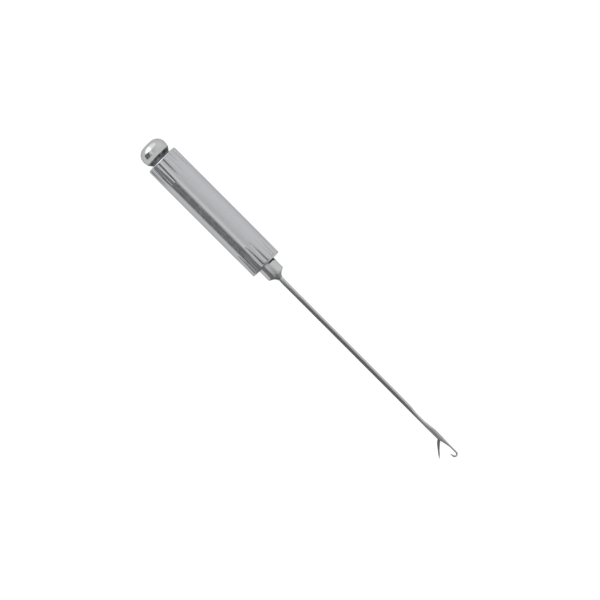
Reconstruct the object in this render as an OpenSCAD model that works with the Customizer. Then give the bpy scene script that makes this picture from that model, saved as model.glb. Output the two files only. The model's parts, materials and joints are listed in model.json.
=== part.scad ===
// Latch-hook bait-threading needle with a turned metal handle.
// Millimetres. The long axis is X and the hook is at its +X end. The hook opens toward -Y
// and the latch turns about Z. The origin is the middle of the grip, on the long axis.

/* [Handle] */
// Outer diameter of the handle tube and of its end flanges
grip_d = 10.2; // [9.2:0.1:12]
// Length of the handle over both end flanges
grip_len = 42.7; // [38:0.1:60]
// Wall thickness of the handle tube
tube_wall = 0.9; // [0.7:0.1:1.2]
// Thickness of the flange at each end of the handle
flange_len = 0.5; // [0.5:0.1:1]
// Length of the plug inside each end of the tube
spigot_len = 8; // [6:0.5:10]
// Radius of the rounded outer edge of each flange
rim_round = 0.45; // [0.1:0.05:0.45]

/* [Flutes] */
// Number of flutes pressed into each end of the tube
flute_count = 18; // [12:1:20]
// Depth of a flute at its outer end
flute_depth = 0.26; // [0.2:0.02:0.3]
// Amount by which a flute gets shallower towards its inner end
flute_fade = 0.18; // [0:0.02:0.18]
// Radius of a flute's round section and of its round inner end
flute_r = 0.95; // [0.7:0.05:1.2]
// Overall length of a flute
flute_len = 7.9; // [4:0.1:9]

/* [End knob] */
// Diameter of the end knob
knob_d = 8.6; // [8:0.1:8.6]
// Length of the end knob
knob_len = 6.05; // [6.05:0.05:7]
// Radius of the rounded back edge of the knob
knob_round = 2.9; // [1.5:0.1:2.9]
// Height of the dome on the knob's back face
knob_dome = 0.08; // [0.05:0.01:0.13]
// Radius of the knob where it meets the handle
knob_foot_r = 3; // [3:0.05:3.2]
// Diameter of the stud that holds the knob
stud_d = 3; // [2:0.5:3]

/* [Nose] */
// Diameter of the nose
nose_d = 5.7; // [4.8:0.1:6]
// Length of the nose's straight side
nose_len = 4; // [3:0.1:6]
// Length of the taper from the nose down to the needle
flare_len = 1.7; // [1.5:0.1:3]
// Diameter of the shank that fastens the nose into the handle
shank_d = 4; // [3:0.5:5]
// Length of that shank
shank_len = 7; // [5:0.5:8]

/* [Needle] */
// Diameter of the needle wire
wire_d = 1.46; // [1.4:0.02:1.52]
// Distance from the handle's front face to the rivet
reach = 70.45; // [50:0.05:110]
// Length of wire held inside the nose
socket_len = 10; // [6:0.5:11]
// Depth of the hollow in the wire's back, behind the cheek
neck_depth = 0.37; // [0.16:0.01:0.45]
// Thickness of the flattened cheek
cheek_t = 1.1; // [1:0.05:1.2]
// Width of the slot that the latch swings in
slot_w = 0.4; // [0.36:0.02:0.44]
// Diameter of the hook's wire
hook_wire = 0.56; // [0.4:0.02:0.6]
// Radius of the hook's bend, to the middle of its wire
hook_r = 0.68; // [0.6:0.01:0.8]
// Angle by which the hook's point stands away from its stem
hook_flare = 11; // [0:1:20]

/* [Latch] */
// Length of the latch from the rivet to its tip
latch_len = 5.95; // [5.9:0.01:6]
// Thickness of the latch
latch_t = 0.3; // [0.2:0.02:0.32]
// Diameter of the rivet
rivet_d = 0.3; // [0.25:0.01:0.32]
// Clearance between the rivet and the latch, on the radius
rivet_gap = 0.03; // [0.02:0.01:0.04]
// Angle of the latch below the needle's axis as it stands at rest
latch_angle = 44.5; // [40:0.5:60]
// Width of the cupped tip of the latch
spoon_w = 0.5; // [0.4:0.02:0.6]

/* [Hidden] */
$fn = 64;

grip_r = grip_d / 2;
front_x = grip_len / 2;
tube_end_x = front_x - flange_len;
bore_r = grip_r - tube_wall;
knob_r = knob_d / 2;
stud_r = stud_d / 2;
stud_in_knob = 3.2;
stud_in_cap = 5;
stud_chamfer = 0.3;
nose_r = nose_d / 2;
wire_r = wire_d / 2;
flare_x = front_x + nose_len;
wire_out_x = flare_x + flare_len;
shank_r = shank_d / 2;

// Head of the needle, from the rivet at head_x. The rivet sits a little to the open side.
head_x = front_x + reach;
rivet_y = -0.12;
rivet_head_r = 0.21;
rivet_head_t = 0.05;
cheek_top = 0.81;
cheek_bottom = -0.72;
stem_y = 0.46;
bend_x = head_x + 6.36;
bend_y = stem_y - hook_r;
point_len = 1.05;
point_r = 0.08;
slot_top = 0.34;
neck_x = head_x - 8.2;
tip_r = 0.09;

// Points of an arc, as [across, along] or [x, y] pairs.
function arc(cx, cy, r, a0, a1, n = 8) =
    [for (i = [0:n]) let (a = a0 + (a1 - a0) * i / n) [cx + r * cos(a), cy + r * sin(a)]];

// Turns a profile of [radius, distance along X] points about the X axis.
module turned(profile) rotate([0, 90, 0]) rotate_extrude($fn = 96) polygon(profile);

// A round bar along X.
module bar(x0, x1, r) translate([x0, 0, 0]) rotate([0, 90, 0]) cylinder(h = x1 - x0, r = r);

// One flute's cutter: a bar with a ball at its inner end, tilted so that the flute fades inwards.
module flute_cutter() {
    axis_r = grip_r + flute_r - flute_depth;
    // How far the ball reaches past its centre where it leaves the tube's surface.
    reach_past = sqrt(pow(flute_r, 2) - pow(axis_r + flute_fade - grip_r, 2));
    bar_len = flute_len - reach_past;
    translate([tube_end_x, 0, axis_r])
        rotate([0, asin(flute_fade / bar_len), 0]) {
            bar(-bar_len, 1, flute_r);
            translate([-bar_len, 0, 0]) sphere(flute_r);
        }
}

// Both ends of the tube are crimped onto the plugs by a ring of flutes. The front ring is turned
// by half a flute.
module handle_sleeve() color("silver")
    difference() {
        bar(-tube_end_x, tube_end_x, grip_r);
        bar(-tube_end_x - 1, tube_end_x + 1, bore_r);
        for (side = [0, 1], i = [0:flute_count - 1])
            mirror([side, 0, 0])
                rotate([(i + (1 - side) / 2) * 360 / flute_count, 0, 0]) flute_cutter();
    }

// A plug with a round-edged flange, at the +X end of the tube.
module end_cap(hole_r)
    difference() {
        turned(concat(
            [[0, tube_end_x - spigot_len], [bore_r - 0.3, tube_end_x - spigot_len]],
            [[bore_r, tube_end_x - spigot_len + 0.3], [bore_r, tube_end_x], [grip_r, tube_end_x]],
            arc(grip_r - rim_round, front_x - rim_round, rim_round, 0, 90),
            [[0, front_x]]
        ));
        bar(tube_end_x - spigot_len - 1, front_x + 1, hole_r);
    }

module rear_cap() color("lightgrey") mirror([1, 0, 0]) end_cap(stud_r);

module front_cap() color("lightgrey") end_cap(shank_r);

// The knob's outline runs from the cone that meets the handle, over a clear edge, to its dome.
module end_knob() color("gainsboro") {
    cone_angle = 36;
    edge_angle = 18;
    side_round = 5;
    edge_r = knob_r - side_round * (1 - cos(edge_angle));
    edge_x = (edge_r - knob_foot_r) / tan(cone_angle);
    side_x = edge_x + side_round * sin(edge_angle);
    back_x = knob_len - knob_dome;
    mirror([1, 0, 0]) translate([front_x, 0, 0])
        difference() {
            turned(concat(
                [[0, 0], [knob_foot_r, 0]],
                arc(knob_r - side_round, side_x, side_round, -edge_angle, 0, 5),
                arc(knob_r - knob_round, back_x - knob_round, knob_round, 0, 90, 12),
                [[0, knob_len]]
            ));
            bar(-1, stud_in_knob, stud_r);
        }
}

// Threads are left plain, at their major diameter.
module knob_stud() color("darkgrey") {
    x0 = front_x - stud_in_cap;
    x1 = front_x + stud_in_knob;
    mirror([1, 0, 0]) turned([
        [0, x0], [stud_r - stud_chamfer, x0], [stud_r, x0 + stud_chamfer],
        [stud_r, x1 - stud_chamfer], [stud_r - stud_chamfer, x1], [0, x1]
    ]);
}

// A straight nose, a short steep shoulder and a hollow flare that ends on the wire.
module nose_ferrule() color("silver") {
    shoulder_r = 0.59 * nose_r;
    shoulder_x = flare_x + 0.29 * flare_len;
    lip_r = wire_r + 0.08;
    edge_round = 0.25;
    chamfer = 0.3;
    difference() {
        turned(concat(
            [[0, front_x - shank_len], [shank_r - chamfer, front_x - shank_len]],
            [[shank_r, front_x - shank_len + chamfer], [shank_r, front_x], [nose_r, front_x]],
            arc(nose_r - edge_round, flare_x - edge_round, edge_round, 0, 65, 4),
            [for (i = [0:8]) let (s = i / 8) [
                lip_r + (shoulder_r - lip_r) * pow(1 - s, 1.8),
                shoulder_x + (wire_out_x - shoulder_x) * s
            ]],
            [[0, wire_out_x]]
        ));
        bar(wire_out_x - socket_len, wire_out_x + 1, wire_r);
    }
}

// Side outline of the flattened head, seen along Z, and its outline seen along Y.
module cheek_side() polygon([
    [head_x - 5, -0.6], [head_x - 3.5, cheek_bottom + 0.01], [head_x - 1.5, cheek_bottom],
    [head_x - 0.2, cheek_bottom], [head_x + 0.7, -0.5], [head_x + 1.4, -0.34],
    [head_x + 2, -0.2], [head_x + 2.6, -0.09], [head_x + 3.2, 0.05],
    [head_x + 4.3, stem_y - hook_wire / 2],
    [head_x + 4.3, stem_y + hook_wire / 2], [head_x + 1.2, cheek_top],
    [head_x - 2.8, cheek_top], [head_x - 3.6, 0.7], [head_x - 5, 0.4]
]);

module cheek_plan() polygon([
    [head_x - 5, -0.5], [head_x - 3.6, -cheek_t / 2], [head_x + 0.6, -cheek_t / 2],
    [head_x + 2.6, -hook_wire / 2 - 0.05], [head_x + 4.3, -hook_wire / 2],
    [head_x + 4.3, hook_wire / 2], [head_x + 2.6, hook_wire / 2 + 0.05],
    [head_x + 0.6, cheek_t / 2], [head_x - 3.6, cheek_t / 2], [head_x - 5, 0.5]
]);

// The cheek is the wire pressed flat, so its long edges stay round.
module cheek() {
    mid_y = (cheek_top + cheek_bottom) / 2;
    round_r = (cheek_top - cheek_bottom) / 2 + 0.03;
    intersection() {
        linear_extrude(2, center = true) cheek_side();
        translate([0, mid_y, 0]) bar(head_x - 6, head_x + 5, round_r);
        rotate([90, 0, 0]) linear_extrude(4, center = true) cheek_plan();
    }
}

// Long shallow hollow in the back of the wire.
module neck_cut() translate([neck_x, wire_r, 0])
    linear_extrude(3, center = true) polygon([
        [-8, 0.01], [-5.6, -0.11], [-3.6, -0.13], [-2.6, -0.7 * neck_depth],
        [-1.4, -0.95 * neck_depth], [0, -neck_depth], [1.6, -neck_depth], [2.6, -0.7 * neck_depth],
        [3.4, -0.4 * neck_depth], [4.6, -0.05], [5.2, 0.01], [5.2, 1], [-8, 1]
    ]);

// The stem, the round bend and the flared point of the hook.
module hook() {
    turn = 180 - hook_flare;
    hook_wire_r = hook_wire / 2;
    translate([0, stem_y, 0]) bar(head_x + 3.6, bend_x, hook_wire_r);
    translate([bend_x, bend_y, 0]) rotate([0, 0, 90 - turn]) {
        rotate_extrude(angle = turn) translate([hook_r, 0]) circle(hook_wire_r, $fn = 32);
        translate([hook_r, 0, 0]) rotate([90, 0, 0])
            cylinder(h = point_len, r1 = hook_wire_r, r2 = point_r, $fn = 32);
    }
}

// Slot for the latch: flat at the top, with sloping ends as a slitting saw leaves it.
module latch_slot() linear_extrude(slot_w, center = true) polygon([
    [head_x - 2.8, -2], [head_x - 2.8, -0.35], [head_x - 1.8, slot_top - 0.1],
    [head_x - 1, slot_top], [head_x + 1.8, slot_top], [head_x + 2.7, -0.05], [head_x + 3.1, -2]
]);

module needle() color("slategrey")
    difference() {
        union() {
            difference() {
                bar(wire_out_x - socket_len, head_x - 3.9, wire_r);
                neck_cut();
            }
            cheek();
            hook();
        }
        latch_slot();
        translate([head_x, rivet_y, 0]) cylinder(h = 3, r = rivet_d / 2, center = true);
    }

// Half-width of the latch, seen from the side, at a distance from the rivet.
latch_root_r = 0.4;
function latch_half(s) = latch_root_r - 0.02 * s - (latch_root_r - tip_r - 0.11) * pow(s / latch_len, 2);

// Its middle line bows a little, with the hollow side toward the hook.
latch_bow = 0.17;
function latch_mid(s) = latch_bow * (pow(2 * s / latch_len - 1, 2) - 1);

module latch_side() {
    steps = 10;
    body = latch_len - tip_r;
    polygon(concat(
        arc(0, 0, latch_root_r, 270, 90, 12),
        [for (i = [1:steps - 1]) let (s = body * i / steps) [s, latch_mid(s) + latch_half(s)]],
        arc(body, latch_mid(body), tip_r, 80, -80, 6),
        [for (i = [steps - 1:-1:1]) let (s = body * i / steps) [s, latch_mid(s) - latch_half(s)]]
    ));
}

// Seen along its own plane, the latch is thin at the rivet and widens to a spoon at its tip.
module latch_plan() {
    spoon_r = spoon_w / 2;
    spoon_x = latch_len - spoon_r;
    half_t = latch_t / 2;
    polygon(concat(
        [[-1, -half_t], [spoon_x - 1.2, -half_t]],
        arc(spoon_x, 0, spoon_r, -90, 90, 10),
        [[spoon_x - 1.2, half_t], [-1, half_t]]
    ));
}

module latch() color("dimgrey")
    translate([head_x, rivet_y, 0]) rotate([0, 0, -latch_angle])
        difference() {
            intersection() {
                linear_extrude(2, center = true) latch_side();
                rotate([90, 0, 0]) linear_extrude(4, center = true) latch_plan();
            }
            cylinder(h = 3, r = rivet_d / 2 + rivet_gap, center = true, $fn = 32);
        }

// The rivet is set flush in the cheeks, with a thin round head on each side.
module latch_rivet() color("darkslategrey")
    translate([head_x, rivet_y, 0]) {
        cylinder(h = cheek_t, r = rivet_d / 2, center = true, $fn = 32);
        for (side = [0, 1])
            mirror([0, 0, side]) translate([0, 0, cheek_t / 2])
                cylinder(h = rivet_head_t, r = rivet_head_r, $fn = 32);
    }

handle_sleeve();
rear_cap();
end_knob();
knob_stud();
front_cap();
nose_ferrule();
needle();
latch();
latch_rivet();
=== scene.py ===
import json
import math

import bmesh
import bpy
from mathutils import Matrix, Vector


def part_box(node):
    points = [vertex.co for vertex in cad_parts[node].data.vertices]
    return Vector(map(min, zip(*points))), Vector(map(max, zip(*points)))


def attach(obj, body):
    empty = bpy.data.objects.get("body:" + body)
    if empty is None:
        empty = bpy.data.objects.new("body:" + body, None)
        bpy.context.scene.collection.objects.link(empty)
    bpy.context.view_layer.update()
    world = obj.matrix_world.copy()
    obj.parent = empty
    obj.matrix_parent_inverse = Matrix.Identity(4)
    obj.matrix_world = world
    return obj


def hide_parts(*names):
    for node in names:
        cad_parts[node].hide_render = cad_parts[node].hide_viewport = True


# Looks of the latch-hook bait needle. Shapes are in millimetres here and go into the meshes in
# metres. The long axis is X, the hook is at its +X end, and the latch turns about Z.
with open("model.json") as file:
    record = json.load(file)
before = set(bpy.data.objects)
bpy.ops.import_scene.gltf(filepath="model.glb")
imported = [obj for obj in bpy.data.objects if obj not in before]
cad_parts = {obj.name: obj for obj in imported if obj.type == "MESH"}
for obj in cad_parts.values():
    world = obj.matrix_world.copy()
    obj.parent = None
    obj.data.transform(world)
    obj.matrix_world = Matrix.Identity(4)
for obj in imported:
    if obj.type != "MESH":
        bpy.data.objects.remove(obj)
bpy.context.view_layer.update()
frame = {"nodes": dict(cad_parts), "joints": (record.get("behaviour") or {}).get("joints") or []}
MM = 0.001


def node_box(node):
    """Lowest and highest corner of a CAD node, in millimetres."""
    low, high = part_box(node)
    return low / MM, high / MM


# Sizes that the frame gives.
SLEEVE_HIGH = node_box("handle_sleeve")[1]
GRIP_R = SLEEVE_HIGH.z
TUBE_END = SLEEVE_HIGH.x
FACE_X = node_box("front_cap")[1].x
PLUG_X = node_box("front_cap")[0].x
KNOB_BACK = -node_box("end_knob")[0].x
KNOB_R = node_box("end_knob")[1].z
NOSE_LOW, NOSE_HIGH = node_box("nose_ferrule")
NOSE_R = NOSE_HIGH.z
NEEDLE_LOW = node_box("needle")[0]
RIVET_HEAD_Z = node_box("latch_rivet")[1].z
PIVOT = Vector(frame["joints"][0]["pos_m"]) / MM
# Moves a shape turned about X onto the latch's axis, which runs along Z.
ON_PIVOT = Matrix.Translation(PIVOT) @ Matrix.Rotation(math.pi / 2, 4, "Y")

# Sizes of the handle that its boxes don't show. SEAM is the groove where two parts meet.
BORE_R = GRIP_R - 0.9
RIM_ROUND = 0.45
SEAM = 0.035
STUD_R = 1.5
STUD_IN_KNOB = 3.2
SHANK_R = 2.0

# The flutes in each end of the tube. A flute gets shallower inward by FLUTE_FADE, and FLUTE_RUN is
# how long it takes to run out at its inner end.
FLUTES = 18
FLUTE_DEPTH = 0.26
FLUTE_FADE = 0.18
FLUTE_R = 0.95
FLUTE_LEN = 7.9
FLUTE_RUN = 1.4

# The wire, the hook and the latch. The stem is the thin wire between the cheek and the bend.
WIRE_R = 0.73
STEM_Y = 0.46
STEM_R = 0.28
HOOK_R = 0.68
HOOK_FLARE = 11
POINT_LEN = 1.05
POINT_R = 0.08
LATCH_LEN = 5.95
LATCH_ANGLE = 44.5
RIVET_R = 0.15


# --- Mesh helpers -----------------------------------------------------------------------------

def arc(cx, cy, r, start, end, steps=8):
    """Points of an arc, from one angle to another in degrees."""
    angles = [math.radians(start + (end - start) * i / steps) for i in range(steps + 1)]
    return [(cx + r * math.cos(a), cy + r * math.sin(a)) for a in angles]


def steps_between(start, end, count):
    """Even steps from start to end, both ends included."""
    return [start + (end - start) * i / count for i in range(count + 1)]


def through(points, x):
    """Height at x of a smooth line through (x, height) points, which doesn't overshoot them."""
    if x <= points[0][0]:
        return points[0][1]
    if x >= points[-1][0]:
        return points[-1][1]
    slopes = [(b[1] - a[1]) / (b[0] - a[0]) for a, b in zip(points, points[1:])]

    def tangent(i):
        if i == 0 or i == len(points) - 1:
            return 0.0
        before, after = slopes[i - 1], slopes[i]
        return 0.0 if before * after <= 0 else 2 * before * after / (before + after)

    i = max(k for k in range(len(points) - 1) if points[k][0] <= x)
    (x0, y0), (x1, y1) = points[i], points[i + 1]
    span = x1 - x0
    t = (x - x0) / span
    return (
        (1 + 2 * t) * (1 - t) ** 2 * y0
        + t * (1 - t) ** 2 * span * tangent(i)
        + t * t * (3 - 2 * t) * y1
        + t * t * (t - 1) * span * tangent(i + 1)
    )


def lathe(outline, segments=128, closed=False, dent=None):
    """Turns an outline of (x, radius) about the X axis. dent(x, radius, angle) gives a new radius."""
    points, faces = [], []
    for x, r in outline:
        for k in range(segments):
            angle = 2 * math.pi * k / segments
            radius = dent(x, r, angle) if dent else r
            points.append((x, radius * math.cos(angle), radius * math.sin(angle)))
    rows = len(outline)
    for i in range(rows if closed else rows - 1):
        j = (i + 1) % rows
        for k in range(segments):
            n = (k + 1) % segments
            faces.append((i * segments + k, i * segments + n, j * segments + n, j * segments + k))
    return points, faces


def loft(rings):
    """Joins rings of points into a closed skin, with a fan at each end."""
    count = len(rings[0])
    points = [p for r in rings for p in r]
    faces = []
    for i in range(len(rings) - 1):
        for k in range(count):
            n = (k + 1) % count
            faces.append(
                (i * count + k, i * count + n, (i + 1) * count + n, (i + 1) * count + k)
            )
    for first in (0, (len(rings) - 1) * count):
        middle = len(points)
        points.append(tuple(sum(p[a] for p in points[first : first + count]) / count for a in range(3)))
        faces += [(first + k, first + (k + 1) % count, middle) for k in range(count)]
    return points, faces


def section(x, y, heading, half_y, half_z, power=2.0, count=48):
    """A ring across a line that runs in the XY plane at a heading. power 2 is an ellipse, more is boxier."""
    ring = []
    for k in range(count):
        c = math.cos(2 * math.pi * k / count)
        s = math.sin(2 * math.pi * k / count)
        u = half_y * math.copysign(abs(c) ** (2 / power), c)
        w = half_z * math.copysign(abs(s) ** (2 / power), s)
        ring.append((x - u * math.sin(heading), y + u * math.cos(heading), w))
    return ring


def prism(outline, half_width):
    """A side outline of (x, y), extruded to both sides along Z."""
    count = len(outline)
    points = [(x, y, z) for z in (-half_width, half_width) for x, y in outline]
    faces = [(k, (k + 1) % count, (k + 1) % count + count, k + count) for k in range(count)]
    faces += [tuple(range(count)), tuple(range(count, 2 * count))]
    return points, faces


def tidy(mesh, sharp_angle):
    """Merges doubled points, turns faces outward, shades smooth and keeps real edges sharp."""
    bm = bmesh.new()
    bm.from_mesh(mesh)
    bmesh.ops.remove_doubles(bm, verts=bm.verts, dist=1e-7)
    bmesh.ops.dissolve_degenerate(bm, edges=bm.edges, dist=1e-8)
    bmesh.ops.recalc_face_normals(bm, faces=bm.faces)
    for face in bm.faces:
        face.smooth = True
    for edge in bm.edges:
        edge.smooth = edge.calc_face_angle(0) < math.radians(sharp_angle)
    bm.to_mesh(mesh)
    bm.free()


def make(name, shape, place=None, sharp_angle=28):
    """One object from (points, faces) in millimetres. place moves the shape first."""
    points, faces = shape
    mesh = bpy.data.meshes.new(name)
    move = place or Matrix.Identity(4)
    mesh.from_pydata([(move @ Vector(p)) * MM for p in points], [], faces)
    tidy(mesh, sharp_angle)
    obj = bpy.data.objects.new(name, mesh)
    bpy.context.scene.collection.objects.link(obj)
    return obj


def cut(obj, *cutters, sharp_angle=28):
    """Takes the cutters' shapes out of an object and deletes them."""
    for cutter in cutters:
        boolean = obj.modifiers.new("cut", "BOOLEAN")
        boolean.operation = "DIFFERENCE"
        boolean.solver = "EXACT"
        boolean.object = cutter
    bpy.context.view_layer.update()
    seen = obj.evaluated_get(bpy.context.evaluated_depsgraph_get())
    result = bpy.data.meshes.new_from_object(seen)
    obj.modifiers.clear()
    obj.data = result
    for cutter in cutters:
        bpy.data.objects.remove(cutter)
    tidy(result, sharp_angle)


def fit(obj, body, slot, material, *nodes):
    """Gives a piece its finish and its body, and hides the CAD nodes that it stands for."""
    obj.data.materials.clear()
    obj.data.materials.append(material)
    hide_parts(*nodes)
    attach(obj, body)


# --- Materials --------------------------------------------------------------------------------

class Graph:
    """Short calls for building one node tree."""

    def __init__(self, tree):
        self.tree = tree
        tree.nodes.clear()

    def add(self, kind, inputs=None, **settings):
        node = self.tree.nodes.new(kind)
        for name, value in settings.items():
            setattr(node, name, value)
        for socket, value in (inputs or {}).items():
            self.put(node.inputs[socket], value)
        return node

    def put(self, socket, value):
        if isinstance(value, bpy.types.NodeSocket):
            self.tree.links.new(value, socket)
        else:
            socket.default_value = value

    def math(self, operation, a, b=0.0, clamp=False):
        return self.add("ShaderNodeMath", {0: a, 1: b}, operation=operation, use_clamp=clamp).outputs[0]

    def smooth(self, value, low, high):
        """0 at low and below, 1 at high and above, with a soft change between them."""
        node = self.add(
            "ShaderNodeMapRange",
            {"Value": value, "From Min": low, "From Max": high},
            interpolation_type="SMOOTHSTEP",
        )
        return node.outputs[0]

    def band(self, value, rise, fall):
        """1 between two soft edges and 0 outside them. Each edge is where it starts and ends."""
        after = self.smooth(value, *rise)
        before = self.math("SUBTRACT", 1.0, self.smooth(value, *fall))
        return self.math("MULTIPLY", after, before)

    def span(self, value, low, high):
        """Spreads a 0 to 1 value over low to high."""
        node = self.add("ShaderNodeMapRange", {"Value": value, "To Min": low, "To Max": high})
        return node.outputs[0]

    def noise(self, vector, scale=1.0, detail=2.0):
        node = self.add("ShaderNodeTexNoise", {"Vector": vector, "Scale": scale, "Detail": detail})
        return node.outputs[0]

    def stretch(self, vector, scale, rotation=(0.0, 0.0, 0.0)):
        node = self.add("ShaderNodeMapping", {"Vector": vector, "Rotation": rotation, "Scale": scale})
        return node.outputs[0]

    def split(self, vector):
        return self.add("ShaderNodeSeparateXYZ", {0: vector}).outputs

    def mix(self, factor, a, b):
        node = self.add("ShaderNodeMix", data_type="RGBA")
        for socket, value in zip((node.inputs[0], node.inputs[6], node.inputs[7]), (factor, a, b)):
            self.put(socket, value)
        return node.outputs[2]


def grey(value):
    return (value, value, value, 1.0)


# The colour that the darker patches go toward; on most parts they are painted shade.
DARKENING_COLOUR = (0.03, 0.03, 0.032, 1.0)


def metal(name, colour, roughness, grain, grain_height, dents=0.0, shade_and_tone=None, matt=0.35):
    """A metal with grain lines, soft blotches, micro-scratches and, given a darkening function, a darker and
    rougher tone where it says; on most parts that tone is painted shade.

    grain is how fine the lines are along X, Y and Z, in lines per millimetre. grain_height is
    their height and dents the height of broad soft dents, both in millimetres.
    That function takes (graph, millimetres) and gives 0 to 1, and matt is the roughness that it adds."""
    mottle = 0.06
    scratch = 0.25
    material = bpy.data.materials.new(name)
    material.use_nodes = True
    g = Graph(material.node_tree)
    place = g.add("ShaderNodeTexCoord").outputs["Object"]
    mm = g.stretch(place, (1 / MM, 1 / MM, 1 / MM))

    lines = g.noise(g.stretch(mm, grain), detail=3)
    fine = g.noise(g.stretch(mm, tuple(4 * v for v in grain)), detail=2)
    blotch = g.noise(mm, scale=0.55, detail=4)
    speck = g.noise(mm, scale=3.5, detail=3)

    # Two families of hairline scratches, each a thin slice of a long stretched noise.
    hair = None
    for angle, density in ((0.5, 5.0), (-1.1, 6.5)):
        swirl = g.noise(g.stretch(mm, (0.22, density, density), (0.0, 0.0, angle)), detail=1)
        line = g.band(swirl, (0.628, 0.64), (0.64, 0.652))
        hair = line if hair is None else g.math("MAXIMUM", hair, line)

    shine = g.math("ADD", g.span(blotch, -mottle, mottle), g.span(lines, -mottle, mottle))
    dull = g.math("MULTIPLY", hair, scratch * 0.3)
    rough = g.math("ADD", g.math("ADD", shine, roughness), dull, clamp=True)
    tone = g.math("ADD", g.math("MULTIPLY", blotch, 0.6), g.math("MULTIPLY", speck, 0.4))
    light = tuple(c * (1 + mottle) for c in colour) + (1.0,)
    dark = tuple(c * (1 - mottle) for c in colour) + (1.0,)
    base = g.mix(tone, dark, light)
    # Darker, rougher patches from the given function; on most parts these are painted shade.
    if shade_and_tone:
        darkening = shade_and_tone(g, mm)
        base = g.mix(darkening, base, DARKENING_COLOUR)
        rough = g.math("ADD", rough, g.math("MULTIPLY", darkening, matt), clamp=True)

    height = g.math("ADD", g.math("MULTIPLY", lines, 0.8), g.math("MULTIPLY", fine, 0.03))
    height = g.math("SUBTRACT", height, g.math("MULTIPLY", hair, scratch))
    if dents:
        broad = g.noise(mm, scale=0.7, detail=1)
        height = g.math("ADD", height, g.math("MULTIPLY", broad, dents / grain_height))
    bump = g.add("ShaderNodeBump", {"Strength": 1.0, "Distance": grain_height * MM, "Height": height})
    shader = g.add(
        "ShaderNodeBsdfPrincipled",
        {
            "Base Color": base,
            "Metallic": 1.0,
            "Roughness": rough,
            "Normal": bump.outputs[0],
            "Specular Tint": (0.62, 0.62, 0.63, 1.0),
        },
    )
    g.add("ShaderNodeOutputMaterial", {"Surface": shader.outputs[0]})
    return material


def flute_wall_shade(g, mm):
    """Painted shade on one wall of each flute that shows, on the hook's open side, stronger toward the tube's
    ends.
    """
    x, y, z = g.split(mm)
    around = g.math("ARCTAN2", g.math("MULTIPLY", y, -1.0), z)
    turn = g.math("MULTIPLY", g.math("LESS_THAN", x, 0.0), 0.5)
    count = g.math("ADD", g.math("MULTIPLY", around, FLUTES / (2 * math.pi)), turn)
    off = g.math("SUBTRACT", g.math("FRACT", count), 0.5)
    wall = g.band(off, (-0.37, -0.25), (-0.1, 0.02))
    degrees = g.math("MULTIPLY", around, 180 / math.pi)
    # The painted shade is only on the side toward the hook's open side.
    side = g.band(degrees, (-20, -14), (72, 82))
    along = g.smooth(g.math("ABSOLUTE", x), TUBE_END - FLUTE_LEN, TUBE_END - 1.5)
    patchy = g.span(g.noise(mm, scale=1.5, detail=3), 0.25, 0.75)
    darkening = g.math("MULTIPLY", g.math("MULTIPLY", wall, side), g.math("MULTIPLY", along, patchy))
    # One front flute is painted dark all over, as painted shade.
    floor = g.band(off, (-0.5, -0.36), (0.36, 0.5))
    one = g.band(degrees, (20, 22), (38, 40))
    front = g.smooth(x, TUBE_END - FLUTE_LEN - 0.2, TUBE_END - FLUTE_LEN + 0.2)
    one = g.math("MULTIPLY", g.math("MULTIPLY", floor, one), g.math("MULTIPLY", front, 0.42))
    return g.math("MAXIMUM", darkening, one)


def knob_cone_shade(g, mm):
    """Painted shade on the knob's cone, blotchy and darkest beside its edge."""
    x, _, _ = g.split(mm)
    patchy = g.span(g.smooth(g.noise(mm, scale=0.9, detail=3), 0.32, 0.66), 0.42, 0.92)
    dark = g.math("MULTIPLY", g.smooth(x, -FACE_X - 1.6, -FACE_X - 1.4), patchy)
    return g.math("MULTIPLY", dark, g.span(g.smooth(x, -FACE_X - 0.7, -FACE_X - 0.3), 1.0, 0.0))


def rear_face_shade(g, mm):
    """Painted shade on the inner part of the handle's rear face, beside the knob."""
    x, y, z = g.split(mm)
    r = g.math("SQRT", g.math("ADD", g.math("MULTIPLY", y, y), g.math("MULTIPLY", z, z)))
    inner = g.math("MULTIPLY", g.math("SUBTRACT", 1.0, g.smooth(r, 4.2, 4.7)), 0.25)
    return g.math("MULTIPLY", inner, g.math("LESS_THAN", x, 0.0))


def nose_root_shadow_and_flare(g, mm):
    """Painted shadow in the joint between the nose and the handle, on the hook's back, and a darker, duller
    flare.
    """
    x, y, _ = g.split(mm)
    reach = g.math("ADD", FACE_X + 0.38, g.math("MULTIPLY", g.smooth(y, 2.0, 2.9), 0.4))
    near = g.math("SUBTRACT", 1.0, g.smooth(g.math("SUBTRACT", x, reach), 0.0, 0.2))
    flare = g.math("MULTIPLY", g.smooth(x, FACE_X + 4.0, FACE_X + 4.5), 0.34)
    back = g.math("MULTIPLY", g.smooth(y, 0.2, 1.2), 0.72)
    return g.math("MAXIMUM", g.math("MULTIPLY", near, back), flare)


def cheek_edge_shade(g, mm):
    """A painted shade line along the back edge of the flattened cheek."""
    x, y, _ = g.split(mm)
    along = g.band(x, (PIVOT.x - 3.2, PIVOT.x - 2.4), (PIVOT.x + 0.6, PIVOT.x + 1.2))
    return g.math("MULTIPLY", along, g.math("MULTIPLY", g.smooth(y, 0.42, 0.62), 0.4))


def latch_tip(g, mm):
    """The leaf is duller and darker toward its tip."""
    out = g.add("ShaderNodeVectorMath", {0: mm, 1: tuple(PIVOT)}, operation="DISTANCE").outputs["Value"]
    return g.math("MULTIPLY", g.smooth(out, 3.4, 4.8), 0.7)


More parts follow.
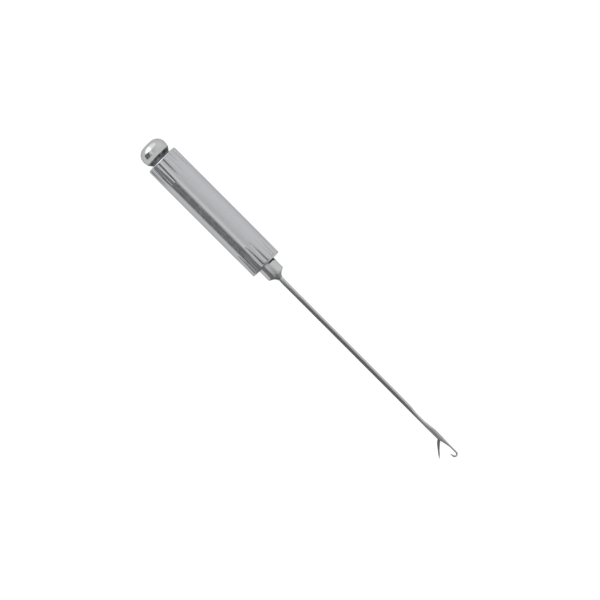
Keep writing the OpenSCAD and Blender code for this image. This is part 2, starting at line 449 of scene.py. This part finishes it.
LONG_GRAIN = (0.14, 1.7, 1.7)
TURNED_GRAIN = (6.0, 0.25, 0.25)
WIRE_GRAIN = (0.1, 5.0, 5.0)
LATCH_GRAIN = (2.5, 2.5, 6.0)
RIVET_GRAIN = (5.0, 5.0, 5.0)
TUBE_FINISH = metal(
    "satin_tube", (0.417, 0.422, 0.436), 0.19, LONG_GRAIN, 0.012, shade_and_tone=flute_wall_shade
)
CAP_FINISH = metal("turned_cap", (0.42, 0.425, 0.437), 0.2, TURNED_GRAIN, 0.0008, shade_and_tone=rear_face_shade)
KNOB_FINISH = metal(
    "polished_knob", (0.425, 0.434, 0.431), 0.11, TURNED_GRAIN, 0.0006, dents=0.12, shade_and_tone=knob_cone_shade
)
NOSE_FINISH = metal(
    "polished_nose", (0.44, 0.447, 0.445), 0.23, TURNED_GRAIN, 0.0006, shade_and_tone=nose_root_shadow_and_flare, matt=1.1
)
WIRE_FINISH = metal("drawn_wire", (0.42, 0.422, 0.426), 0.22, WIRE_GRAIN, 0.0008, shade_and_tone=cheek_edge_shade)
LATCH_FINISH = metal("stamped_latch", (0.22, 0.22, 0.225), 0.4, LATCH_GRAIN, 0.0008, shade_and_tone=latch_tip)
RIVET_FINISH = metal("rivet_steel", (0.3, 0.3, 0.305), 0.25, RIVET_GRAIN, 0.0006)
STUD_FINISH = metal("hidden_steel", (0.35, 0.35, 0.36), 0.3, TURNED_GRAIN, 0.001)


# --- Camera, floor and light ------------------------------------------------------------------

def add_camera():
    """Looks straight down on the tool with a long lens, turned so that the tool lies aslant."""
    field = 172.6
    middle = (35.4, -0.39)
    slant = 45.03
    data = bpy.data.cameras.new("camera")
    data.lens = 300
    data.sensor_width = 36
    data.clip_end = 20
    camera = bpy.data.objects.new("camera", data)
    bpy.context.scene.collection.objects.link(camera)
    distance = field * data.lens / data.sensor_width
    camera.location = Vector((middle[0], middle[1], distance)) * MM
    camera.rotation_euler = (0, 0, math.radians(slant))
    bpy.context.scene.camera = camera


def add_floor():
    """A white table that the handle rests on. It glows a little, as a lit paper sweep does."""
    half = 1500
    shape = ([(-half, -half, 0), (half, -half, 0), (half, half, 0), (-half, half, 0)], [(0, 1, 2, 3)])
    floor = make("floor", shape, Matrix.Translation((0, 0, -GRIP_R)))
    material = bpy.data.materials.new("white_paper")
    material.use_nodes = True
    g = Graph(material.node_tree)
    mm = g.stretch(g.add("ShaderNodeTexCoord").outputs["Object"], (1 / MM, 1 / MM, 1 / MM))
    fibre = g.span(g.noise(mm, scale=0.8, detail=3), 0.96, 1.0)
    glow = g.add("ShaderNodeEmission", {"Color": (1, 1, 1, 1), "Strength": 0.8})
    paper = g.add("ShaderNodeBsdfDiffuse", {"Color": g.mix(fibre, (0, 0, 0, 1), (0.3, 0.3, 0.3, 1))})
    both = g.add("ShaderNodeAddShader", {0: glow.outputs[0], 1: paper.outputs[0]})
    g.add("ShaderNodeOutputMaterial", {"Surface": both.outputs[0]})
    floor.data.materials.append(material)


def add_studio():
    """Soft light from all round, with a dark gap low on the hook's open side.

    Tilt is the angle from straight up, positive toward the open side of the hook."""
    world = bpy.data.worlds.new("studio")
    world.use_nodes = True
    bpy.context.scene.world = world
    g = Graph(world.node_tree)
    x, y, z = g.split(g.add("ShaderNodeTexCoord").outputs["Generated"])
    tilt = g.math("ARCTAN2", g.math("MULTIPLY", y, -1.0), z)

    stops = (
        (-75, 1.18), (-40, 1.12), (-18, 1.04), (-4, 0.93), (6, 1.0), (13, 1.14), (20, 1.4),
        (26, 1.28), (33, 0.7), (39, 0.22), (46, 0.19), (56, 0.29), (63, 0.33), (72, 0.2), (83, 0.2),
        (92, 0.9),
    )
    ramp = g.add("ShaderNodeValToRGB", {0: g.math("ADD", g.math("DIVIDE", tilt, 2 * math.pi), 0.5)})
    points = ramp.color_ramp.elements
    peak = 1.4
    for angle, level in stops:
        point = points.new(angle / 360 + 0.5)
        point.color = grey(level / peak)
    points.remove(points[0])
    points.remove(points[-1])
    gap = g.math("MULTIPLY", ramp.outputs[0], peak)
    # The gap ends to both sides, where the light is even.
    open_light = 1.1
    inside = g.band(x, (-0.66, -0.54), (0.04, 0.14))
    outside = g.math("SUBTRACT", 1.0, inside)
    level = g.math("ADD", g.math("MULTIPLY", gap, inside), g.math("MULTIPLY", outside, open_light))
    # Low light beyond the hook is dim.
    dim = g.math("MULTIPLY", g.smooth(x, 0.55, 0.85), g.math("SUBTRACT", 1.0, g.smooth(z, 0.25, 0.6)))
    level = g.math("MULTIPLY", level, g.math("SUBTRACT", 1.0, g.math("MULTIPLY", dim, 0.4)))
    # A bright lamp beyond the knob, which fades toward the back of the hook.
    lamp = g.math("MULTIPLY", g.smooth(g.math("MULTIPLY", x, -1.0), 0.58, 0.68), g.smooth(z, -0.05, 0.1))
    lamp = g.math("MULTIPLY", lamp, g.band(y, (-0.7, -0.58), (0.6, 0.75)))
    lamp = g.math("MULTIPLY", lamp, g.span(g.smooth(y, -0.05, 0.15), 1.6, 0.55))
    level = g.math("ADD", level, lamp)

    seen = g.add("ShaderNodeLightPath").outputs["Is Camera Ray"]
    strength = g.math("ADD", g.math("MULTIPLY", level, g.math("SUBTRACT", 1.0, seen)), seen)
    light = g.add("ShaderNodeBackground", {"Color": (1, 1, 1, 1), "Strength": strength})
    g.add("ShaderNodeOutputWorld", {"Surface": light.outputs[0]})
    bpy.context.scene.view_settings.view_transform = "Standard"


def add_flag():
    """A dark card folded round the needle's open side, seen only in reflections.

    It does what a studio flag does for a shiny wire. It gets lighter toward the hook."""
    fold = [(9, 60), (-42, 60), (-42, -4), (-2.5, -4)]
    points = [(x, y, z) for y, z in fold for x in (28, 86, 140)]
    faces = [(i, i + 1, i + 4, i + 3) for k in range(len(fold) - 1) for i in (3 * k, 3 * k + 1)]
    # Along the plain wire the card reaches further over.
    points += [(28, 38, 60), (86, 38, 60)]
    faces.append((0, 1, len(points) - 1, len(points) - 2))
    flag = make("flag", (points, faces))
    material = bpy.data.materials.new("dark_card")
    material.use_nodes = True
    g = Graph(material.node_tree)
    x, _, _ = g.split(g.add("ShaderNodeTexCoord").outputs["Object"])
    level = g.span(g.smooth(x, 0.082, 0.09), 0.235, 0.45)
    glow = g.add("ShaderNodeEmission", {"Color": (1, 1, 1, 1), "Strength": level})
    g.add("ShaderNodeOutputMaterial", {"Surface": glow.outputs[0]})
    flag.data.materials.append(material)
    flag.visible_camera = False
    flag.visible_diffuse = False
    flag.visible_shadow = False
    flag.visible_transmission = False


# --- Handle -----------------------------------------------------------------------------------

def flute_dent(x, r, angle):
    """The tube's radius where round-bottomed flutes are pressed into each end."""
    if r < BORE_R + 0.1:
        return r
    pitch = 2 * math.pi / FLUTES
    # The rear ring has a flute at +Z, a quarter turn from where the angle starts. The front ring
    # is turned by half a pitch.
    turn = pitch / 2 if x > 0 else 0.0
    off = (angle - math.pi / 2 + turn + pitch / 2) % pitch - pitch / 2
    axis_r = GRIP_R + FLUTE_R - FLUTE_DEPTH
    past = math.sqrt(FLUTE_R**2 - (axis_r - GRIP_R) ** 2)
    # A flute is open and deepest at the tube's end, and runs out slowly at its inner end.
    last = TUBE_END - FLUTE_LEN + FLUTE_RUN
    side = abs(x)
    lift = FLUTE_FADE * min(1.0, (TUBE_END - side) / (TUBE_END - last))
    beyond = max((last - side) * past / FLUTE_RUN, 0.0)
    room = FLUTE_R**2 - beyond**2 - ((axis_r + lift) * math.sin(off)) ** 2
    if room <= 0:
        return r
    bottom = (axis_r + lift) * math.cos(off) - math.sqrt(room)
    soften = 0.03
    blend = max(soften - abs(bottom - r), 0.0) / soften
    return min(bottom, r) - blend * blend * soften / 4


def seam_edge(way):
    """The rounded edge of a part at the tube's end. way is 1 if the part lies outward, or -1."""
    return [
        (TUBE_END, GRIP_R - SEAM), (TUBE_END + way * 0.01, GRIP_R - 0.012), (TUBE_END + way * SEAM, GRIP_R)
    ]


def sleeve():
    """The tube: plain in the middle, with a ring of flutes at each end."""
    one_end = seam_edge(-1)
    rows = steps_between(TUBE_END - 0.3, TUBE_END - FLUTE_LEN + 1.8, 16)
    rows += steps_between(TUBE_END - FLUTE_LEN + 1.5, TUBE_END - FLUTE_LEN - 0.1, 20)
    one_end += [(x, GRIP_R) for x in rows]
    outline = one_end + [(-x, r) for x, r in reversed(one_end)]
    outline += [(-TUBE_END, BORE_R), (TUBE_END, BORE_R)]
    tube = make("handle_tube", lathe(outline, FLUTES * 24, closed=True, dent=flute_dent), sharp_angle=50)
    fit(tube, "tool", "handle_tube", TUBE_FINISH, "handle_sleeve")


def cap(name, node, hole_r, side):
    """A plug with a round-edged flange. side is 1 at the nose end and -1 at the knob end."""
    chamfer = 0.3
    outline = [(PLUG_X, hole_r), (PLUG_X, BORE_R - chamfer), (PLUG_X + chamfer, BORE_R), (TUBE_END, BORE_R)]
    outline += seam_edge(1)
    outline += [(x, r) for r, x in arc(GRIP_R - RIM_ROUND, FACE_X - RIM_ROUND, RIM_ROUND, 0, 90, 10)]
    outline += [(FACE_X, r) for r in steps_between(GRIP_R - RIM_ROUND - 0.2, hole_r, 6)]
    outline = [(side * x, r) for x, r in outline]
    fit(make(name, lathe(outline, closed=True)), "tool", "handle_caps", CAP_FINISH, node)


def knob():
    """A cone from the handle out to a clear edge, a round side and a nearly flat back."""
    cone_angle = math.radians(36)
    edge_angle = 18
    edge_round = 0.05
    side_round = 5.0
    back_round = 2.9
    foot_r = 3.0
    dome = 0.08
    edge_r = KNOB_R - side_round * (1 - math.cos(math.radians(edge_angle)))
    edge_x = (edge_r - foot_r) / math.tan(cone_angle)
    side_x = edge_x + side_round * math.sin(math.radians(edge_angle))
    back_x = KNOB_BACK - FACE_X - dome
    foot_end = (edge_x - edge_round * math.cos(cone_angle), edge_r - edge_round * math.sin(cone_angle))
    outline = [(STUD_IN_KNOB, 0), (STUD_IN_KNOB, STUD_R), (0, STUD_R), (0, foot_r)]
    outline += [(foot_end[0] * t, foot_r + (foot_end[1] - foot_r) * t) for t in (0.3, 0.65, 1.0)]
    outline += [(x, r) for r, x in arc(KNOB_R - side_round, side_x, side_round, -edge_angle + 1, 0, 12)]
    outline += [(x, r) for r, x in arc(KNOB_R - back_round, back_x - back_round, back_round, 0, 90, 28)]
    flat_r = KNOB_R - back_round
    outline += [(back_x + dome * (1 - (1 - t) ** 2), flat_r * (1 - t)) for t in steps_between(0, 1, 8)[1:]]
    outline = [(-FACE_X - x, r) for x, r in outline]
    fit(make("round_knob", lathe(outline), sharp_angle=24), "tool", "knob", KNOB_FINISH, "end_knob")


def nose():
    """A straight nose, a short steep shoulder and a hollow flare that ends on the wire."""
    flare_len = 1.7
    edge_round = 0.25
    lip_r = WIRE_R + 0.08
    chamfer = 0.3
    end_x = NOSE_HIGH.x
    flare_x = end_x - flare_len
    shoulder_r = 0.59 * NOSE_R
    shoulder_x = flare_x + 0.29 * flare_len
    outline = [(NOSE_LOW.x, 0), (NOSE_LOW.x, SHANK_R - chamfer), (NOSE_LOW.x + chamfer, SHANK_R)]
    outline += [(FACE_X, SHANK_R), (FACE_X, NOSE_R - SEAM), (FACE_X + SEAM, NOSE_R)]
    outline += [(x, r) for r, x in arc(NOSE_R - edge_round, flare_x - edge_round, edge_round, 0, 65, 8)]
    for s in steps_between(0, 1, 24):
        outline.append((shoulder_x + (end_x - shoulder_x) * s, lip_r + (shoulder_r - lip_r) * (1 - s) ** 1.8))
    outline += [(end_x, WIRE_R), (NEEDLE_LOW.x, WIRE_R), (NEEDLE_LOW.x, 0)]
    fit(make("nose", lathe(outline), sharp_angle=24), "tool", "nose", NOSE_FINISH, "nose_ferrule")


# --- Needle, latch and rivet ------------------------------------------------------------------

def needle():
    """The wire, thinned behind a flattened and slotted cheek, with the hook's bend at its end."""
    head = PIVOT.x
    bend_x, bend_y = head + 6.36, STEM_Y - HOOK_R
    top = [
        (head - 13.6, WIRE_R), (head - 11.8, 0.62), (head - 10.8, 0.47), (head - 9.6, 0.38),
        (head - 8.2, 0.36), (head - 6.8, 0.36), (head - 5.6, 0.47), (head - 4.8, 0.58),
        (head - 3.8, 0.68), (head - 2.8, 0.8), (head + 1.2, 0.8), (head + 4.3, STEM_Y + STEM_R),
    ]
    bottom = [
        (head - 3.9, -WIRE_R), (head - 0.2, -0.71), (head + 0.7, -0.5), (head + 1.4, -0.34),
        (head + 2.0, -0.2), (head + 2.6, -0.09), (head + 3.2, 0.05), (head + 4.3, STEM_Y - STEM_R),
    ]
    half_width = [
        (head - 9, WIRE_R), (head - 5, 0.62), (head - 3.6, 0.55), (head + 0.6, 0.55), (head + 2.6, 0.33),
        (head + 4.3, STEM_R),
    ]
    boxy = [(head - 6, 2.0), (head - 3, 2.9), (head + 1.5, 2.9), (head + 3.5, 2.0)]
    along = steps_between(NEEDLE_LOW.x, head - 12, 8) + steps_between(head - 11.8, head + 4.3, 90)
    rings = []
    for x in along:
        high, low = through(top, x), through(bottom, x)
        rings.append(
            section(x, (high + low) / 2, 0, (high - low) / 2, through(half_width, x), through(boxy, x))
        )
    rings += [section(x, STEM_Y, 0, STEM_R, STEM_R) for x in (head + 5, head + 5.8)]
    bend_end = HOOK_FLARE - 90
    for x, y in arc(bend_x, bend_y, HOOK_R, 90, bend_end, 40):
        heading = math.atan2(y - bend_y, x - bend_x) - math.pi / 2
        rings.append(section(x, y, heading, STEM_R, STEM_R))
    start_x, start_y = x, y
    heading = math.radians(bend_end - 90)
    # Each station is how far it is past the bend, and its radius. The point ends in a small ball.
    straight = POINT_LEN - POINT_R
    stations = [(straight * t, STEM_R + (POINT_R - STEM_R) * t) for t in steps_between(0.1, 1, 8)]
    for angle in (30, 60, 80):
        a = math.radians(angle)
        stations.append((straight + POINT_R * math.sin(a), POINT_R * math.cos(a)))
    for past, r in stations:
        x, y = start_x + past * math.cos(heading), start_y + past * math.sin(heading)
        rings.append(section(x, y, heading, r, r))
    wire = make("needle_wire", loft(rings), sharp_angle=40)

    slot = [
        (head - 3.1, -2), (head - 3.1, -0.5), (head - 1.8, 0.24), (head - 1, 0.34),
        (head + 1.8, 0.34), (head + 2.7, -0.05), (head + 3.1, -2),
    ]
    slot_half_width = 0.2
    slot_cutter = make("slot_cutter", prism(slot, slot_half_width))
    hole = lathe([(-2, 0), (-2, RIVET_R), (2, RIVET_R), (2, 0)], 32)
    cut(wire, slot_cutter, make("hole_cutter", hole, ON_PIVOT), sharp_angle=40)
    fit(wire, "tool", "needle_wire", WIRE_FINISH, "needle")


def latch():
    """The leaf: round at its rivet, narrowing toward its tip, where it widens into a small spoon."""
    root_r = 0.4
    tip_r = 0.09
    bow = 0.17
    thick = 0.3
    spoon = 0.5
    cup_len = 1.6
    cup_start = LATCH_LEN - cup_len
    stations = [-root_r * math.cos(math.radians(a)) for a in range(8, 90, 9)]
    stations += steps_between(0, cup_start, 24)
    stations += [cup_start + cup_len * math.sin(math.radians(a)) for a in range(5, 90, 5)]
    rings = []
    for s in stations:
        half = root_r - 0.02 * s - (root_r - tip_r - 0.11) * (s / LATCH_LEN) ** 2
        middle = bow * ((2 * s / LATCH_LEN - 1) ** 2 - 1)
        if s < 0:
            half = math.sqrt(root_r**2 - s**2)
            middle = 0.0
        to_tip = LATCH_LEN - s
        round_in = spoon / 2
        width = through([(0, thick / 2), (LATCH_LEN - 1.5, thick / 2), (LATCH_LEN - 0.5, spoon / 2)], s)
        if to_tip < round_in:
            shrink = math.sqrt(max(0.0, 1 - (1 - to_tip / round_in) ** 2))
            width *= max(shrink, 0.1)
            half *= max(0.35 + 0.65 * shrink, 0.1)
        # The edge away from the hook is fuller near the root, and the other edge near the tip.
        full_root = 0.16 * through([(0, 0), (1, 1), (4.2, 0)], s)
        full_tip = 0.08 * through([(3.4, 0), (4.9, 1), (LATCH_LEN, 0.2)], s)
        dish = 0.07 * through([(cup_start, 0), (cup_start + 1, 1), (LATCH_LEN, 0.4)], s)
        ring = []
        for x, y, z in section(s, 0, 0, half, width, 3.0, 36):
            across = min(1.0, abs(z) / width)
            if y > 0:
                y += full_tip * y / half - dish * (1 - across**2)
            else:
                y += full_root * y / half
            ring.append((x, y + middle, z))
        rings.append(ring)
    place = Matrix.Translation(PIVOT) @ Matrix.Rotation(math.radians(-LATCH_ANGLE), 4, "Z")
    leaf = make("latch_leaf", loft(rings), place, sharp_angle=40)
    hole_r = RIVET_R + 0.03
    hole = lathe([(-1, 0), (-1, hole_r), (1, hole_r), (1, 0)], 32)
    cut(leaf, make("hole_cutter", hole, ON_PIVOT), sharp_angle=40)
    fit(leaf, "latch", "latch_steel", LATCH_FINISH, "latch")


def rivet():
    """A plain pin with a thin domed head on each cheek."""
    head_r = 0.21
    cheek = 0.55
    half = [(RIVET_HEAD_Z, 0), (RIVET_HEAD_Z - 0.004, 0.08), (RIVET_HEAD_Z - 0.018, 0.16)]
    half += [(cheek + 0.01, head_r), (cheek, head_r - 0.01), (cheek, RIVET_R)]
    outline = [(-x, r) for x, r in half] + [(x, r) for x, r in reversed(half)]
    pin = make("rivet_pin", lathe(outline, 48), ON_PIVOT)
    fit(pin, "tool", "rivet_steel", RIVET_FINISH, "latch_rivet")


add_camera()
add_floor()
add_studio()
add_flag()
sleeve()
cap("front_plug", "front_cap", SHANK_R, 1)
cap("rear_plug", "rear_cap", STUD_R, -1)
knob()
nose()
needle()
latch()
rivet()
# The stud is hidden in the knob and the plug, so it keeps its CAD shape and only gets a finish.
stud = frame["nodes"]["knob_stud"]
stud.data.materials.clear()
stud.data.materials.append(STUD_FINISH)
